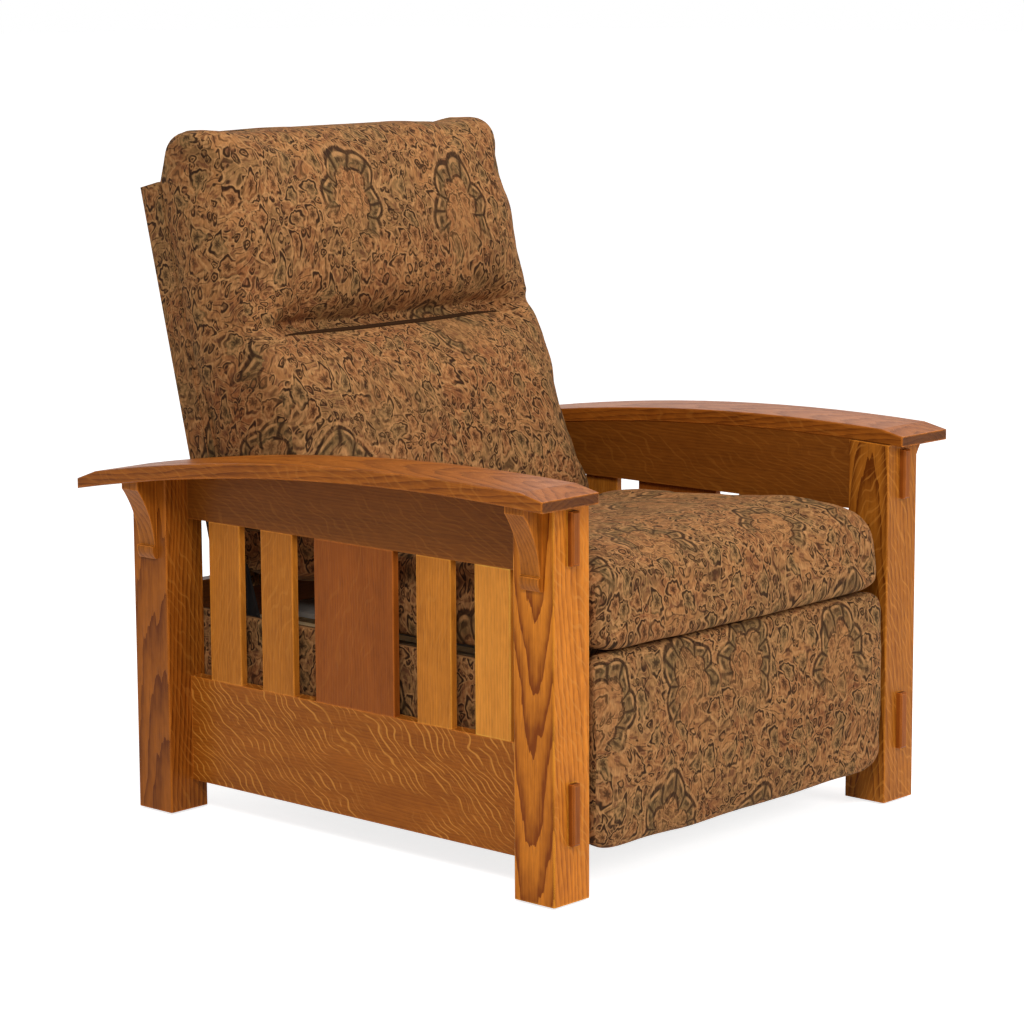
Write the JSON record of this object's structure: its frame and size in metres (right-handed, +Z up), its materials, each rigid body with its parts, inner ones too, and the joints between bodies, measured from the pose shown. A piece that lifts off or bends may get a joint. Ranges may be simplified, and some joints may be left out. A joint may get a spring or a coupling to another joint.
{
  "type": "mission reclining armchair",
  "caption": "Mission style oak armchair with slatted sides and bowed arms, a reclining upholstered back, a gliding seat cushion and a swing-up padded footrest.",
  "frame": {"origin": "centre of the chair's bounding box at floor level, with the back upright and the footrest closed", "axes": "+X towards the chair's left, +Y towards its back, +Z up"},
  "size_m": [0.952, 0.97, 1.0573],
  "materials": {
    "oak": "satin stained oak",
    "oak_slat": "satin stained oak",
    "hardwood": "plain sawn",
    "side_cover": "woven tapestry over a board",
    "tapestry": "woven tapestry with a paisley pattern",
    "felt": "felt",
    "mechanism_steel": "black",
    "zinc_steel": "zinc plated",
    "spring_wire": "oiled wire",
    "nylon": "matt"
  },
  "bodies": {
    "frame": {"left_front_post": "oak", "right_front_post": "oak", "left_rear_post": "oak", "right_rear_post": "oak", "left_arm": "oak", "right_arm": "oak", "left_lower_rail": "oak", "right_lower_rail": "oak", "left_upper_rail": "oak", "right_upper_rail": "oak", "left_slat_1": "oak_slat", "left_slat_2": "oak_slat", "left_slat_3": "oak_slat", "left_slat_4": "oak_slat", "left_slat_5": "oak_slat", "right_slat_1": "oak_slat", "right_slat_2": "oak_slat", "right_slat_3": "oak_slat", "right_slat_4": "oak_slat", "right_slat_5": "oak_slat", "left_front_corbel": "oak", "right_front_corbel": "oak", "left_rear_corbel": "oak", "right_rear_corbel": "oak", "tenon_plugs": "oak", "rear_cross_rail": "oak", "left_side_board": "side_cover", "right_side_board": "side_cover", "base_stretchers": "hardwood", "mechanism_plates": "mechanism_steel", "frame_pivot_pins": "zinc_steel", "frame_bolts": "zinc_steel", "floor_glides": "nylon"},
    "back": {"back_stiles": "hardwood", "back_cross_rails": "hardwood", "back_brackets": "mechanism_steel", "back_springs": "spring_wire", "back_shell": "tapestry", "lumbar_cushion": "tapestry", "head_pillow": "tapestry"},
    "seat": {"seat_side_rails": "hardwood", "seat_cross_rails": "hardwood", "seat_hangers": "mechanism_steel", "footrest_plates": "mechanism_steel", "seat_pivot_pins": "zinc_steel", "seat_springs": "spring_wire", "seat_deck": "felt", "seat_cushion": "tapestry"},
    "swing": {"swing_links": "mechanism_steel", "swing_shaft": "zinc_steel"},
    "front_lift": {"front_links": "mechanism_steel", "footrest_shaft": "zinc_steel"},
    "idler": {"idler_links": "mechanism_steel"},
    "carrier": {"carry_links": "mechanism_steel"},
    "rods": {"control_rods": "mechanism_steel"},
    "footrest": {"footrest_board": "hardwood", "footrest_pad": "tapestry", "footrest_hinges": "mechanism_steel", "footrest_pins": "zinc_steel"}
  },
  "joints": [
    {"name": "back_recline", "type": "hinge", "parent": "frame", "child": "back", "pos_m": [0, 0.272, 0.382], "axis": [-1, 0, 0], "range_deg": [0, 28]},
    {"name": "swing_pivot", "type": "hinge", "parent": "frame", "child": "swing", "pos_m": [0, -0.148, 0.295], "axis": [-1, 0, 0], "range_deg": [0, 28]},
    {"name": "seat_glide", "type": "hinge", "parent": "back", "child": "seat", "pos_m": [0, 0.23801, 0.27738], "axis": [-1, 0, 0], "range_deg": [-28, 0]},
    {"name": "footrest_lift", "type": "hinge", "parent": "seat", "child": "front_lift", "pos_m": [0, -0.363, 0.285], "axis": [-1, 0, 0], "range_deg": [0, 88]},
    {"name": "idler_pivot", "type": "hinge", "parent": "seat", "child": "idler", "pos_m": [0, -0.391, 0.309], "axis": [-1, 0, 0], "range_deg": [0, 88]},
    {"name": "carrier_pivot", "type": "hinge", "parent": "front_lift", "child": "carrier", "pos_m": [0, -0.363, 0.075], "axis": [-1, 0, 0], "range_deg": [-88, 0]},
    {"name": "rod_pivot", "type": "hinge", "parent": "front_lift", "child": "rods", "pos_m": [0, -0.348, 0.11], "axis": [-1, 0, 0], "range_deg": [-88, 0]},
    {"name": "footrest_turn", "type": "hinge", "parent": "carrier", "child": "footrest", "pos_m": [0, -0.399, 0.236], "axis": [-1, 0, 0], "range_deg": [0, 88]}
  ],
  "couplings": [
    {"joint": "swing_pivot", "follows": "back_recline", "ratio": 1},
    {"joint": "seat_glide", "follows": "back_recline", "ratio": -1},
    {"joint": "idler_pivot", "follows": "footrest_lift", "ratio": 1},
    {"joint": "carrier_pivot", "follows": "footrest_lift", "ratio": -1},
    {"joint": "rod_pivot", "follows": "footrest_lift", "ratio": -1},
    {"joint": "footrest_turn", "follows": "footrest_lift", "ratio": 1}
  ]
}
